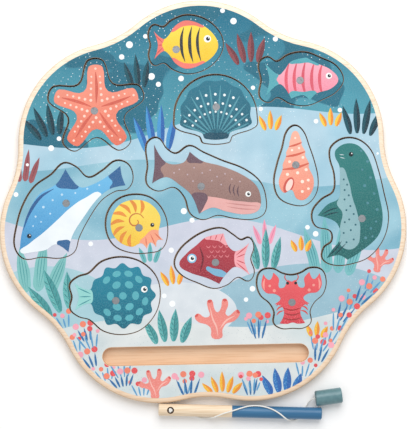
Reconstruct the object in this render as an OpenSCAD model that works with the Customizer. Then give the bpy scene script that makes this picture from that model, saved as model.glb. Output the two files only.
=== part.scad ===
/* [Board] */
// Reach of the board from its middle to the top of a lobe
lobe_reach = 154; // [150:1:162]
// Depth of a valley below the tops of the lobes
valley_deep = 12; // [9:0.5:14]
// Radius of a valley's curve
valley_r = 75.8; // [66:1:90]
// Thickness of the plain back panel
back_t = 3; // [2:0.5:5]
// Thickness of the front panel, which the pieces and the slot are cut through
front_t = 6; // [5:0.5:9]
// Radius of the rounded front edge
edge_round = 2.5; // [1:0.5:3.5]
// Width of the bare wooden rim round the print
rim_w = 3.9; // [3:0.1:6]
// Thickness of one printed coat
print_t = 0.1; // [0.05:0.05:0.2]
// Width of the bare wood between the board's print and a cut-out
bare_edge = 0.3; // [0.1:0.05:0.6]

/* [Slot for the rod] */
// How much longer the slot is than the rod
slot_end_play = 32; // [20:1:36]
// How much wider the slot is than the magnet holder
slot_side_play = 2.3; // [1:0.1:4]
// Distance of the slot's middle above the bottom valley
slot_up = 31.5; // [28:0.5:34]

/* [Wooden pieces] */
// Width of the saw cut all round a piece when it is centred
cut_gap = 0.8; // [0.5:0.05:0.9]
// How far a piece has settled to the right and down in its recess
settle = 0.3; // [0:0.05:0.35]

/* [Steel discs] */
// Diameter of the disc in each piece
disc_d = 5.5; // [4:0.5:7]
// Thickness of the disc
disc_t = 2; // [1:0.5:3.5]
// Clearance round the disc
disc_clear = 0.05; // [0.03:0.01:0.1]

/* [Rod] */
// Diameter of the rod
rod_d = 9; // [8:0.5:10.5]
// Length of the rod
rod_len = 122; // [110:1:135]
// Length of the bare end, up to the paint
bare_len = 55; // [30:1:90]
// Chamfer at both ends of the rod
rod_chamfer = 0.6; // [0.3:0.1:1.2]
// Distance of the line's hole from the rod's end
hole_in = 9; // [7:0.5:12]
// Diameter of the line's hole
hole_d = 3; // [2.6:0.1:3.2]
// Diameter of the cup that the knot sits in
cup_d = 5.2; // [5:0.1:6]
// Depth of the cup
cup_deep = 1.8; // [1.4:0.1:2.2]
// Clearance between the rod and the lobe that it lies beside
rod_gap = 0.4; // [0.3:0.1:3]

/* [Line and magnet] */
// Diameter of the line
line_d = 1.1; // [0.9:0.1:1.2]
// Diameter of the knot that holds the line in the rod
knot_d = 3.8; // [3.6:0.1:4.4]
// Diameter of the wooden magnet holder
holder_d = 11.5; // [10:0.5:12.5]
// Length of the magnet holder
holder_len = 20; // [16:1:26]
// Chamfer round both ends of the holder
holder_chamfer = 0.7; // [0.4:0.1:1.2]
// Depth of the line's hole in the holder
socket_deep = 4; // [2:0.5:6]
// Clearance round the line in its hole
socket_clear = 0.3; // [0.2:0.1:0.5]
// Diameter of the magnet
magnet_d = 8; // [6:0.5:9]
// Thickness of the magnet
magnet_t = 4; // [2:0.5:6]
// Clearance round the magnet
magnet_clear = 0.05; // [0.03:0.01:0.1]

/* [Hidden] */
$fn = 96;
eps = 0.01;
lobes = 7;
// Steps of a smooth outline between two of its points
fine = 5;

// The board's edge is seven lobes and seven valleys, arcs that meet without a kink. The centres of
// the lobes' arcs lie lobe_out from the middle, and those of the valleys' arcs valley_out.
half_turn = 180 / lobes;
valley_reach = lobe_reach - valley_deep;
valley_out = valley_reach + valley_r;
lobe_out = valley_deep * (lobe_reach + valley_reach + 2 * valley_r)
    / (2 * (lobe_reach + valley_r - valley_out * cos(half_turn)));
lobe_r = lobe_reach - lobe_out;
lobe_steps = 18;
valley_steps = 5;
tangent = polar(lobe_out, 0)
    + lobe_r / (lobe_r + valley_r) * (polar(valley_out, half_turn) - polar(lobe_out, 0));
lobe_half = atan2(tangent[1], tangent[0] - lobe_out);
valley_half = lobe_half - half_turn;

slot_len = rod_len + slot_end_play;
slot_w = holder_d + slot_side_play;
slot_y = slot_up - valley_reach;

// The picture's outlines and places are drawn for lobes that reach 154, and grow with the board.
picture = lobe_reach / 154;

board_t = back_t + front_t;
coat_z = board_t + print_t;
disc_z = coat_z + print_t - disc_t;

// The line lies just over the table, and the rod on the line, a little aslant beside the lobes.
floor_gap = 0.05;
line_gap = 0.2;
bottom_lobe = 90 + 3 * 360 / lobes;
line_z = line_d / 2 + floor_gap;
rod_z = line_z + line_d / 2 + line_gap + rod_d / 2;
rod_turn = -2.6;
rod_x = -36;
rod_y = lobe_out * sin(bottom_lobe) - lobe_r - rod_gap - rod_d / 2;
shoulder = rod_d / 2 - cup_deep;
knot_z = shoulder + sqrt(knot_d * knot_d - hole_d * hole_d) / 2;
flare = hole_d / 2;
knot_flat = 0.2;
knot_end = knot_z - knot_d / 2 + knot_flat;
// The face of the holder that the line goes into, in the rod's own frame
holder_at = [117, 11];
holder_turn = 9.4;
holder_z = holder_d / 2 - rod_z;
line_end = holder_at + polar(socket_deep, holder_turn);
// Course of the line in the rod's frame, where the table is rod_z below the rod's axis
line_path = [
    [hole_in, 0, knot_end], [9, 0, -2.4], [9.6, 0, -4.4], [11.6, 0, -5.15], [16, -0.3, -5.2],
    [22, -2.3, -5.2], [28, -4.8, -5.2], [33, -5.9, -4.6], [37, -5.6, -1.9], [40.2, -5, 1.7],
    [44, -3.3, 4.2], [49, -1.1, 5.2], [55, 0.8, 5.25], [61, 2.8, 4.55], [67, 4.4, 3.05],
    [73, 4.85, 2.2], [79, 4.3, 3.2], [85, 2.6, 4.65], [90.2, -0.2, 5.3], [94.2, -3.3, 4.25],
    [96.8, -5.2, 1.1], [99.2, -5.9, -2.6], [102.4, -5.8, -5], [105.6, -3.8, -5.2], [108, -0.2, -5.2],
    [109.9, 3.6, -5.15], [111.9, 7.4, -4.1], [114.1, 10, -1.6],
    [holder_at[0], holder_at[1], holder_z], [line_end[0], line_end[1], holder_z]
];
line_steps = 3;
last_way = [cos(holder_turn), sin(holder_turn), 0];
magnet_chamfer = 0.3;
// Well outside the board
far = 200;

// Named places of the pieces on the board, as their middle and the disc's offset from it
names = ["starfish", "round_fish", "scallop", "long_fish", "spire_shell", "seal", "whale",
    "dolphin", "nautilus", "red_fish", "puffer", "lobster"];
spots = [[-78, 75.5], [-10, 121.5], [11, 73], [75.5, 94], [70, 29.5], [109, 1.5], [3, 21.5],
    [-97, -2.5], [-49.5, -11.5], [8, -38.5], [-67, -65], [65, -69.5]];
disc_off = [[-1.5, -2], [-7.5, -3.5], [0.5, 1.5], [-1, -1], [0, 0.5], [9.5, -12.5], [-4, -6],
    [-5, 7.5], [1.5, -3], [0.5, -3], [0.5, -3.5], [0, -3]];
grounds = ["#4f97ae", "#3d87a5", "#5b9db8", "#3d87a5", "#b7cfe2", "#a9c8da", "#c8d5e6",
    "#bcd2e4", "#c9d6e6", "#cfdae8", "#8dbcd0", "#c3d3e0"];
inks = ["#ea8f7d", "#f3c64b", "#2f6f86", "#ee9aa4", "#f2b39b", "#1f5f6d", "#a0878e",
    "#4f86b8", "#f2cf63", "#b3404c", "#2d8196", "#d8514f"];

board_nodes = ["back_panel", "front_panel", "pale_water", "deep_water", "mid_water", "sand",
    "weed", "frond", "blue_weed", "sun_tufts", "coral", "stems", "blossoms", "bubbles"];
tackle_nodes = ["rod", "line_knot", "line", "magnet_holder", "magnet"];
function ground_name(i) = str(names[i], "_ground");
function figure_name(i) = str(names[i], "_figure");

// A smooth closed outline through its points. A third value of 1 makes a point a corner.
function flat(p) = [p[0], p[1]];
function sharp(p) = p[2] == 1;
function unit(v) = v / max(norm(v), eps);
function lean(a, b, c, chord) = sharp(b) ? [0, 0] : unit(flat(c) - flat(a)) * chord;
function bow(p, q, u, v, t) =
    (2 * t ^ 3 - 3 * t ^ 2 + 1) * p + (t ^ 3 - 2 * t ^ 2 + t) * u
    + (3 * t ^ 2 - 2 * t ^ 3) * q + (t ^ 3 - t ^ 2) * v;
function smooth(pts, n = fine) = [
    for (i = [0:len(pts) - 1])
        let (
            m = len(pts),
            o = pts[(i + m - 1) % m],
            p = pts[i],
            q = pts[(i + 1) % m],
            r = pts[(i + 2) % m],
            chord = norm(flat(q) - flat(p))
        )
        for (k = [0:n - 1])
            bow(flat(p), flat(q), lean(o, p, q, chord), lean(p, q, r, chord), k / n)
];

// The same outline, moved outwards by d, with its sharpest corners held back
corner_hold = 0.65;
function side(a, b) = let (v = unit(b - a)) [v[1], -v[0]];
function grow(loop, d) = [
    for (i = [0:len(loop) - 1])
        let (
            m = len(loop),
            p = loop[i],
            a = side(loop[(i + m - 1) % m], p),
            b = side(p, loop[(i + 1) % m]),
            c = unit(a + b)
        )
        p + c * d / max(c * a, corner_hold)
];

function mirrored(half) = concat(half, [for (i = [len(half) - 1:-1:0]) if (abs(half[i][0]) > eps)
    [-half[i][0], half[i][1], half[i][2]]]);
function polar(r, a) = [r * cos(a), r * sin(a)];
function star(tip, waist) = [
    for (k = [0:4])
        each [polar(tip * 0.95, 80 + 72 * k), polar(tip, 90 + 72 * k), polar(tip * 0.95, 100 + 72 * k),
            polar(waist, 126 + 72 * k)]
];
function fan(w, h, ripple) = concat(
    [for (i = [0:14]) let (a = -14 + i * 208 / 14, k = 1 - ripple * (i % 2))
        [w / 2 * cos(a) * k, h * (0.62 * sin(a) * k - 0.12)]],
    [[-0.2 * w, -0.4 * h], [-0.15 * w, -0.5 * h], [0.15 * w, -0.5 * h], [0.2 * w, -0.4 * h]]
);

// Cut outlines of the pieces, running anticlockwise about their middle
starfish_cut = star(36.5, 21.5);
round_fish_cut = [[27.5, 0], [24, 10], [14, 18.5], [1, 21.5], [-10, 18], [-16.5, 13], [-24, 14.5],
    [-27.5, 8], [-26, 0], [-27.5, -8], [-24, -14.5], [-16.5, -13], [-10, -18], [1, -21.5],
    [14, -18.5], [24, -10]];
scallop_cut = fan(61, 50, 0);
long_fish_cut = [[31, -1], [26, 9], [15, 15], [3, 19.5], [-9, 18], [-18, 13], [-25, 16.5],
    [-31, 12], [-29.5, 0], [-31, -12], [-25, -16.5], [-18, -13], [-8, -18], [4, -19.5],
    [16, -15], [26, -9.5]];
spire_shell_cut = [[16, -10], [13.5, 3], [10, 14], [6, 25], [0, 29.5], [-6, 25], [-9.5, 13],
    [-13.5, 1], [-16, -12], [-13, -23], [-4, -28.5], [7, -29], [14.5, -21]];
seal_cut = [[29, -12], [26, 6], [22, 24], [17, 38], [8, 46], [-3, 47], [-12, 41], [-13, 33],
    [-10, 21], [-11, 8], [-20, 2], [-27, -7], [-25, -17], [-14, -21], [-13, -29], [-19, -34],
    [-20, -42], [-12, -46.5], [0, -46], [14, -41], [25, -28]];
whale_cut = [[44, -17], [40, -4], [28, 6], [12, 12.5], [-2, 19], [-12, 24], [-22, 18.5], [-29, 22],
    [-36, 30.5], [-43.5, 26], [-43, 10], [-44, -3], [-36, -8.5], [-24, -6], [-16, -14],
    [-12, -26], [-3, -30.5], [8, -27.5], [20, -30], [34, -31], [42.5, -27]];
dolphin_cut = [[-10, -33], [0, -29], [4, -18], [11, -5], [21, 9], [32, 16], [41, 17.5], [45, 25],
    [42, 35], [33, 38], [23, 31], [12, 26], [3, 34], [-6, 37], [-15, 29], [-28, 20], [-37, 6],
    [-42, -10], [-43.5, -24], [-37, -33], [-24, -32]];
nautilus_cut = [[22.5, -7], [20.5, 7], [12, 18], [0, 21.5], [-13, 18.5], [-21, 9], [-22.5, -4],
    [-17, -15.5], [-5, -21], [8, -21.5], [18.5, -18.5]];
red_fish_cut = [[26, 14.5], [20, 13], [14, 17], [6, 22], [-5, 20.5], [-16, 15], [-26, 6],
    [-29.5, -4], [-24, -12], [-13, -17.5], [-1, -22], [9, -19.5], [17, -14], [25, -17],
    [29, -11], [26.5, -1], [29, 8]];
puffer_cut = [[33.5, 2], [30, 15], [19, 25], [5, 28.5], [-9, 25.5], [-19, 17], [-27, 14.5],
    [-33, 9], [-31.5, 0], [-33, -9], [-27, -14.5], [-19, -17], [-9, -25.5], [5, -28.5],
    [19, -25], [30, -13]];
lobster_cut = mirrored([[0, -22], [8, -22], [13.5, -18], [13, -10], [16.5, -3], [23, 3], [25.5, 12],
    [22.5, 20.5], [14, 22], [7, 18.5], [0, 17]]);
cuts = [starfish_cut, round_fish_cut, scallop_cut, long_fish_cut, spire_shell_cut, seal_cut,
    whale_cut, dolphin_cut, nautilus_cut, red_fish_cut, puffer_cut, lobster_cut];

// Printed figures, each inside its piece's cut
starfish_art = star(32.5, 15.5);
round_fish_art = [[24, -1], [20, 8], [11, 15], [0, 18], [-8, 14], [-13, 7], [-17, 4.5],
    [-24, 10.5, 1], [-21, 0], [-24, -10.5, 1], [-17, -4.5], [-13, -7], [-8, -14], [0, -18],
    [11, -15], [20, -9]];
scallop_art = fan(54, 44, 0.05);
long_fish_art = [[27.5, -1], [22, 6.5], [13, 11], [4, 16, 1], [-7, 13.5], [-13, 6.5], [-17, 3.5],
    [-27, 12.5, 1], [-24, 0], [-27, -12.5, 1], [-17, -3.5], [-12, -7], [-8, -14.5, 1],
    [1, -12], [6, -16, 1], [11, -11], [22, -7.5]];
spire_shell_art = [[13, -10], [9.6, -1.5], [9.8, 1.5], [7, 7.5], [7.2, 10.5], [4.6, 15.5],
    [4.6, 18], [0, 26], [-4.4, 17.5], [-4.6, 15], [-7, 10], [-7, 7.5], [-9.8, 1], [-9.8, -2],
    [-13, -12], [-9.5, -20], [-3.5, -18], [0, -24.5], [6, -25.5], [12, -18.5]];
seal_art = [[25, -12], [22.5, 5], [18.5, 23], [14, 35], [7, 42.5], [-2, 43.5], [-9, 39], [-9.5, 34],
    [-6.5, 27], [-6.5, 14], [-7.5, 3], [-16, -1.5], [-23.5, -9.5, 1], [-11, -14], [-7, -21],
    [-8, -29], [-13, -35], [-17.5, -41.5, 1], [-8, -39.5], [-2, -43, 1], [6, -38.5], [21, -26]];
whale_art = [[40.5, -17], [37, -6], [26, 2.5], [11, 9], [-3, 13], [-12, 20, 1], [-17, 12],
    [-30, 12.5], [-38.5, 26, 1], [-38.5, 10], [-40.5, -3, 1], [-30, 1.5], [-20, -4.5],
    [-11, -13], [-6, -26.5, 1], [4, -22], [14, -25], [28, -27.5], [38, -25]];
dolphin_art = [[-4, -29, 1], [-1, -17], [8, -3], [19, 11], [29, 18], [39.5, 20, 1], [37, 27],
    [36, 34.5, 1], [27, 27.5], [15, 21], [5, 19.5], [-5, 33, 1], [-12, 22], [-25, 14.5],
    [-33.5, 1], [-38, -12], [-40, -24], [-39, -29], [-31, -28.5], [-21, -27], [-13, -23]];
nautilus_art = [[16, -8], [17.5, 5], [10, 15], [-1, 18], [-12, 15], [-18.5, 6], [-19, -5],
    [-13, -13.5], [-4, -17], [3, -14.5], [7, -18.5, 1], [10, -14], [14, -17.5, 1], [15, -12.5],
    [19.5, -12.5, 1]];
red_fish_art = [[26, 11, 1], [16, 5], [10, 9.5], [7, 18.5, 1], [-6, 16], [-13, 10.5], [-21, 4],
    [-26.5, -4], [-19, -10], [-6, -14.5], [3, -19, 1], [9, -11], [16, -6.5], [26, -13, 1],
    [22, -1]];
puffer_art = concat(
    [for (i = [0:20]) [6, 0] + polar(i % 2 == 0 ? 24.5 : 21.5, -150 + 15 * i)],
    [[-19, 5], [-30, 10, 1], [-27, 0], [-30, -10, 1], [-19, -5]]
);
lobster_art = mirrored([[0, -18], [4, -19], [9.5, -18.5, 1], [6.2, -12], [7.5, -6], [13, -4, 1],
    [8.5, 0], [12.5, 3.5], [19, 4.5], [22.5, 10], [21, 18.5, 1], [16.5, 14], [13.5, 19.5, 1],
    [9.5, 15], [9.5, 8.5], [5.5, 8.5], [3, 13.5], [0, 12.5]]);
figures = [starfish_art, round_fish_art, scallop_art, long_fish_art, spire_shell_art, seal_art,
    whale_art, dolphin_art, nautilus_art, red_fish_art, puffer_art, lobster_art];

// One wave line across the board, as points from left to right
function wave(y, rise, swell, shift) = picture *
    [for (x = [-far:10:far]) [x, y + rise * x / 160 + swell * sin(x * 1.7 + shift)]];

// Edges of the water's bands, from left to right
deep_edge = wave(62, 16, 8, 40);
mid_top = wave(26, -12, 7, 150);
mid_low = wave(-18, -9, 10, 60);
sand_edge = wave(-86, 7, 6, 200);

function rotated(p, a) = concat([p[0] * cos(a) - p[1] * sin(a), p[0] * sin(a) + p[1] * cos(a)],
    [for (k = [2:1:len(p) - 1]) p[k]]);
function set_at(shape, root, turn) =
    [for (p = shape) concat(root + flat(rotated(p, turn)), [for (k = [2:1:len(p) - 1]) p[k]])];
// A leaf that stands on the origin, with a pointed tip that sways to one side
function leaf(h, w, sway) = [[-w * 0.2, 0], [sway * 0.2 - w * 0.5, h * 0.35],
    [sway * 0.6 - w * 0.4, h * 0.7], [sway, h, 1], [sway * 0.6 + w * 0.4, h * 0.66],
    [sway * 0.2 + w * 0.5, h * 0.3], [w * 0.2, 0]];
// The leaves of a clump stand side by side and open outwards like a hand.
function clump(root, count, h, w, open, turn) = [
    for (k = [0:count - 1])
        let (t = k - (count - 1) / 2, at = root + flat(rotated([t * w, -abs(t) * w * 0.2], turn)))
        set_at(leaf(h * (1 - 0.16 * abs(t)), w, t * w * 0.4), at, turn - t * open)
];
// A branched coral that stands on the origin, 25 high
coral_shape = [[3, 0], [3.4, 5], [6, 9], [11, 10.5], [15, 15], [13.6, 18], [11, 16.5], [7.5, 14],
    [5.6, 16], [7.5, 21], [6.5, 25], [3.8, 24.6], [3, 20], [0.6, 16.5], [-1.6, 19], [-3, 24.5],
    [-6, 24], [-5.6, 19], [-4.6, 14.5], [-8, 13.4], [-12, 16], [-14.4, 14], [-12, 10.4],
    [-7, 8.8], [-4, 6], [-3.4, 0]];

// Printed plants, each clump as its root, count of leaves, height, leaf width, opening and turn
weeds = [[[36, 108], 4, 24, 5, 9, 6], [[-113, 56], 4, 26, 5, 9, 16], [[119, 53], 4, 28, 5, 8, -6],
    [[-46, 91], 3, 24, 4.5, 8, 4]];
fronds = [[[-108, -76], 3, 34, 8, 9, 20], [[-27, -99], 4, 26, 6.5, 8, 2],
    [[46, -46], 3, 29, 6, 6, -2]];
blues = [[[-33, 44], 4, 36, 5.5, 6, 3], [[57, -139], 4, 20, 6, 5, 2]];
tufts = [[[52, 57], 3, 14, 4, 14, 0], [[97, 59], 3, 13, 4, 14, 0], [[-23, -57], 3, 14, 4, 14, 6],
    [[12, -138], 5, 15, 4, 12, 0], [[83, -98], 3, 11, 4, 14, -6], [[73, -34], 3, 11, 4, 12, 0]];
// Each coral as its root, size and turn
corals = [[[9, -98], 1.15, 0], [[129, -51], 0.7, -14], [[-38, -142], 0.85, 4]];
// Sprigs of stems that each carry a blossom, as their root, count, height and turn
sprigs = [[[40, -99], 3, 15, 0], [[-13, -141], 4, 14, 2], [[84, -117], 3, 12, -16],
    [[-62, -133], 5, 9, 10], [[-84, -118], 3, 10, 20], [[33, -141], 3, 13, 2],
    [[101, -87], 3, 13, -28], [[115, -74], 3, 12, -34], [[-88, -98], 3, 10, 14]];
sprig_open = 15;
stem_w = 1.6;
stem_step = 2.4;
blossom_r = 2.3;
blossom_gap = 0.3;
// Bubbles, each as its place and radius
bubble_spots = [[-52, 122, 2], [-58, 113, 1.4], [-40, 128, 1.1], [26, 138, 1.8], [18, 146, 1.2],
    [45, 72, 1], [39.5, 88, 1], [104, 70, 1.1], [-31, 92, 1.3], [-36, 98, 1.9], [-8, -10, 1.3],
    [-14, -3, 1.7], [84, -22, 1.5], [78, -17, 1.1], [-24, -32, 1.4], [-112, 46, 1.6],
    [-106, 53, 1.1], [36, -62, 1.5], [31, -70, 1.1], [-139, 12, 1.2], [57, 124, 1.3],
    [-84, -26, 1.2], [-30, -66, 1.2], [-24, -72, 1.7], [86, 62, 1.2], [-14, 96, 1.5],
    [131.5, 37, 0.9], [-130, 34, 1.1]];

// The board's outline, inset by a distance: seven lobes and the valleys between them, arc by arc
function arc(middle, r, from, to, first, last, steps) =
    [for (i = [first:last]) middle + polar(r, from + (to - from) * i / steps)];
function rosette(inset = 0) = [
    for (k = [0:lobes - 1])
        let (way = 90 + k * 360 / lobes, low = way + half_turn + 180)
        each concat(
            arc(polar(lobe_out, way), lobe_r - inset, way - lobe_half, way + lobe_half,
                0, lobe_steps, lobe_steps),
            arc(polar(valley_out, way + half_turn), valley_r + inset, low + valley_half,
                low - valley_half, 1, valley_steps - 1, valley_steps))
];
module plate(h, inset = 0) {
    linear_extrude(h)
        polygon(rosette(inset));
}
// The rim of the front panel, a ring with a rounded front edge
module rounded_rim(h, width, curve) {
    section = concat([[width, 0], [0, 0]],
        [for (a = [0:30:90]) [curve - curve * cos(a), h - curve + curve * sin(a)]], [[width, h]]);
    rings = [for (s = section) [for (p = rosette(s[0])) [p[0], p[1], s[1]]]];
    m = len(rings[0]);
    c = len(section);
    polyhedron(
        points = [for (r = rings) each r],
        faces = [for (j = [0:c - 1]) for (i = [0:m - 1])
            let (up = (j + 1) % c, on = (i + 1) % m)
            [j * m + i, up * m + i, up * m + on, j * m + on]]
    );
}

// Everything that is cut through the front panel, and wider by more through its print
module slot(h, more) {
    bend = (slot_len - slot_w) / 2;
    r = slot_w / 2 + more;
    translate([0, slot_y, 0])
        linear_extrude(h)
            polygon([for (a = [-90:10:90]) [bend, 0] + polar(r, a),
                for (a = [90:10:270]) [-bend, 0] + polar(r, a)]);
}
module recess(i, h, more) {
    translate(picture * spots[i])
        linear_extrude(h)
            polygon(grow(picture * smooth(cuts[i]), cut_gap + more));
}
module cut_through(z, h, more = 0) {
    translate([0, 0, z]) {
        slot(h, more);
        for (i = [0:11])
            recess(i, h, more);
    }
}

module back_panel() {
    color("#e3c79d")
        plate(back_t);
}

module front_panel() {
    color("#ecd4ab")
        translate([0, 0, back_t]) {
            difference() {
                plate(front_t, rim_w);
                cut_through(-1, front_t + 2);
            }
            rounded_rim(front_t, rim_w, edge_round);
        }
}

// First coat of the board's print: four bands of water side by side, inside the bare rim
module band(ink) {
    color(ink)
        difference() {
            translate([0, 0, board_t])
                plate(print_t, rim_w);
            cut_through(board_t - 1, 2 + print_t, bare_edge);
            translate([0, 0, board_t - 1])
                linear_extrude(2 + print_t)
                    children();
        }
}
module above(edge) {
    polygon(concat(edge, [[far, far], [-far, far]]));
}
module below(edge) {
    polygon(concat(edge, [[far, -far], [-far, -far]]));
}
module deep_water() {
    band("#3f87a4")
        below(deep_edge);
}
module mid_water() {
    band("#86b7cf") {
        above(mid_top);
        below(mid_low);
    }
}
module sand() {
    band("#e3e8ea")
        above(sand_edge);
}
module pale_water() {
    band("#c5d4e6") {
        above(deep_edge);
        between(mid_low, mid_top);
        below(sand_edge);
    }
}
module between(low, high) {
    polygon(concat(low, [for (i = [len(high) - 1:-1:0]) high[i]]));
}

// Second coat: plants and bubbles, which stop at the cuts and at the bare rim
module overprint(ink) {
    color(ink)
        difference() {
            intersection() {
                translate([0, 0, coat_z])
                    linear_extrude(print_t)
                        children();
                translate([0, 0, coat_z - 1])
                    plate(2 + print_t, rim_w);
            }
            cut_through(coat_z - 1, 2 + print_t, bare_edge);
        }
}
module clumps(list) {
    for (p = list)
        for (shape = clump(p[0], p[1], p[2], p[3], p[4], p[5]))
            polygon(picture * smooth(shape, 4));
}
module weed() {
    overprint("#1f5f6b")
        clumps(weeds);
}
module frond() {
    overprint("#6fbfc0")
        clumps(fronds);
}
module blue_weed() {
    overprint("#3f8fc8")
        clumps(blues);
}
module sun_tufts() {
    overprint("#f3bd4e")
        clumps(tufts);
}
module coral() {
    overprint("#ef8f86")
        for (p = corals)
            polygon(picture * smooth(set_at(p[1] * coral_shape, p[0], p[2]), 3));
}
function sprig_lean(p, k) = p[3] - (k - (p[1] - 1) / 2) * sprig_open;
function sprig_foot(p, k) = p[0] + flat(rotated([(k - (p[1] - 1) / 2) * stem_step, 0], p[3]));
module stems() {
    overprint("#2f6ea6")
        for (p = sprigs)
            for (k = [0:p[1] - 1])
                polygon(picture * smooth(set_at(leaf(p[2], stem_w, 0), sprig_foot(p, k),
                    sprig_lean(p, k)), 3));
}
module blossoms() {
    overprint("#ec6f74")
        for (p = sprigs)
            for (k = [0:p[1] - 1])
                translate(picture * (sprig_foot(p, k)
                    + flat(rotated([0, p[2] + blossom_gap + blossom_r], sprig_lean(p, k)))))
                    circle(r = picture * blossom_r, $fn = 24);
}
module bubbles() {
    color("#f7fafb")
        for (p = bubble_spots)
            translate([picture * p[0], picture * p[1], coat_z])
                cylinder(h = print_t, r = picture * p[2], $fn = 24);
}

// One wooden piece, with a pocket for its disc
module at_rest(i) {
    translate([picture * spots[i][0] + settle, picture * spots[i][1] - settle, 0])
        children();
}
module by_the_disc(i) {
    translate([picture * disc_off[i][0], picture * disc_off[i][1], disc_z])
        children();
}
module disc_hole(i) {
    by_the_disc(i)
        cylinder(h = disc_t + 1, d = disc_d + 2 * disc_clear);
}
module piece(i) {
    color("#e6c99c")
        at_rest(i)
            difference() {
                translate([0, 0, back_t])
                    linear_extrude(front_t)
                        polygon(picture * smooth(cuts[i]));
                disc_hole(i);
            }
}
module piece_ground(i) {
    color(grounds[i])
        at_rest(i)
            difference() {
                translate([0, 0, board_t])
                    linear_extrude(print_t)
                        polygon(picture * smooth(cuts[i]));
                disc_hole(i);
            }
}
module piece_figure(i) {
    color(inks[i])
        at_rest(i)
            difference() {
                translate([0, 0, coat_z])
                    linear_extrude(print_t)
                        polygon(picture * smooth(figures[i]));
                disc_hole(i);
            }
}
module steel_discs() {
    color("#9a9ea3")
        for (i = [0:11])
            at_rest(i)
                by_the_disc(i)
                    cylinder(h = disc_t, d = disc_d);
}

// The rod lies along X in its own frame, with its left end at the origin.
module by_the_rod() {
    translate([rod_x, rod_y, rod_z])
        rotate([0, 0, rod_turn])
            children();
}
module turned(length, d, chamfer) {
    rotate([0, 90, 0])
        rotate_extrude()
            polygon([[0, 0], [d / 2 - chamfer, 0], [d / 2, chamfer], [d / 2, length - chamfer],
                [d / 2 - chamfer, length], [0, length]]);
}
module rod() {
    by_the_rod()
        difference() {
            union() {
                color("#e2bd8d")
                    intersection() {
                        turned(rod_len, rod_d, rod_chamfer);
                        translate([-1, -rod_d, -rod_d])
                            cube([bare_len + 1, 2 * rod_d, 2 * rod_d]);
                    }
                color("#4d7ba0")
                    intersection() {
                        turned(rod_len, rod_d, rod_chamfer);
                        translate([bare_len, -rod_d, -rod_d])
                            cube([rod_len, 2 * rod_d, 2 * rod_d]);
                    }
            }
            translate([hole_in, 0, -rod_d])
                cylinder(h = 2 * rod_d, d = hole_d);
            translate([hole_in, 0, shoulder])
                cylinder(h = rod_d, d = cup_d);
            translate([hole_in, 0, -rod_d / 2 - eps])
                cylinder(h = flare, r1 = hole_d / 2 + flare, r2 = hole_d / 2);
        }
}
module line_knot() {
    color("#f4f2ec")
        by_the_rod()
            translate([hole_in, 0, knot_z])
                difference() {
                    sphere(d = knot_d);
                    translate([0, 0, -knot_d / 2 - 1])
                        cylinder(h = 1 + knot_flat, d = knot_d);
                }
}

// A smooth route through its points, with n steps between two of them
function heading(route, i) = unit(route[min(i + 1, len(route) - 1)] - route[max(i - 1, 0)]);
function eased(route, n) = concat(
    [for (i = [0:len(route) - 2])
        let (p = route[i], q = route[i + 1], chord = norm(q - p))
        for (k = [0:n - 1])
            bow(p, q, heading(route, i) * chord, heading(route, i + 1) * chord, k / n)],
    [route[len(route) - 1]]);
function ring(at, way, r, sides) =
    let (u = unit(cross(way, [0, 1, 0])), v = cross(way, u))
    [for (k = [0:sides - 1]) at + r * (cos(360 * k / sides) * u + sin(360 * k / sides) * v)];
// The line: out of the rod's underside, beside it, over it and back under it to the holder
module tube(path, d, sides = 8) {
    n = len(path);
    rings = [for (i = [0:n - 1]) let (a = path[max(i - 1, 0)], b = path[min(i + 1, n - 1)])
        ring(path[i], i == 0 ? [0, 0, -1] : i == n - 1 ? last_way : unit(b - a), d / 2, sides)];
    faces = concat([[for (k = [0:sides - 1]) k]],
        [for (i = [0:n - 2]) for (k = [0:sides - 1])
            let (on = (k + 1) % sides)
            [i * sides + k, (i + 1) * sides + k, (i + 1) * sides + on, i * sides + on]],
        [[for (k = [sides - 1:-1:0]) (n - 1) * sides + k]]);
    polyhedron(points = [for (r = rings) each r], faces = faces);
}
module line() {
    color("#f4f2ec")
        by_the_rod()
            tube(eased(line_path, line_steps), line_d);
}

module by_the_holder() {
    by_the_rod()
        translate([holder_at[0], holder_at[1], holder_z])
            rotate([0, 0, holder_turn])
                children();
}
module magnet_holder() {
    color("#7d97a3")
        by_the_holder()
            difference() {
                turned(holder_len, holder_d, holder_chamfer);
                rotate([0, 90, 0])
                    translate([0, 0, -1])
                        cylinder(h = socket_deep + 1, d = line_d + 2 * socket_clear);
                translate([holder_len - magnet_t, 0, 0])
                    rotate([0, 90, 0])
                        cylinder(h = magnet_t + 1, d = magnet_d + 2 * magnet_clear);
            }
}
module magnet() {
    color("#5c5f63")
        by_the_holder()
            translate([holder_len - magnet_t, 0, 0])
                turned(magnet_t, magnet_d, magnet_chamfer);
}

back_panel();
front_panel();
pale_water();
deep_water();
mid_water();
sand();
weed();
frond();
blue_weed();
sun_tufts();
coral();
stems();
blossoms();
bubbles();
for (i = [0:11]) {
    piece(i);
    piece_ground(i);
    piece_figure(i);
}
steel_discs();
rod();
line_knot();
line();
magnet_holder();
magnet();
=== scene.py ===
# %% [markdown]
# # A magnetic fishing game
# A flat wooden board with a printed sea holds twelve loose wooden creatures in saw-cut recesses.
# Each creature carries a small steel disc, and a child lifts it with the magnet that hangs from a
# wooden rod on a white line. The rod has a long slot of its own at the bottom of the board.
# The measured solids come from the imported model. This lesson gives them their wood, ink, paint and
# steel, prints the finer colour fields on them, and twists the line.

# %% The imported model
import math

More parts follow.
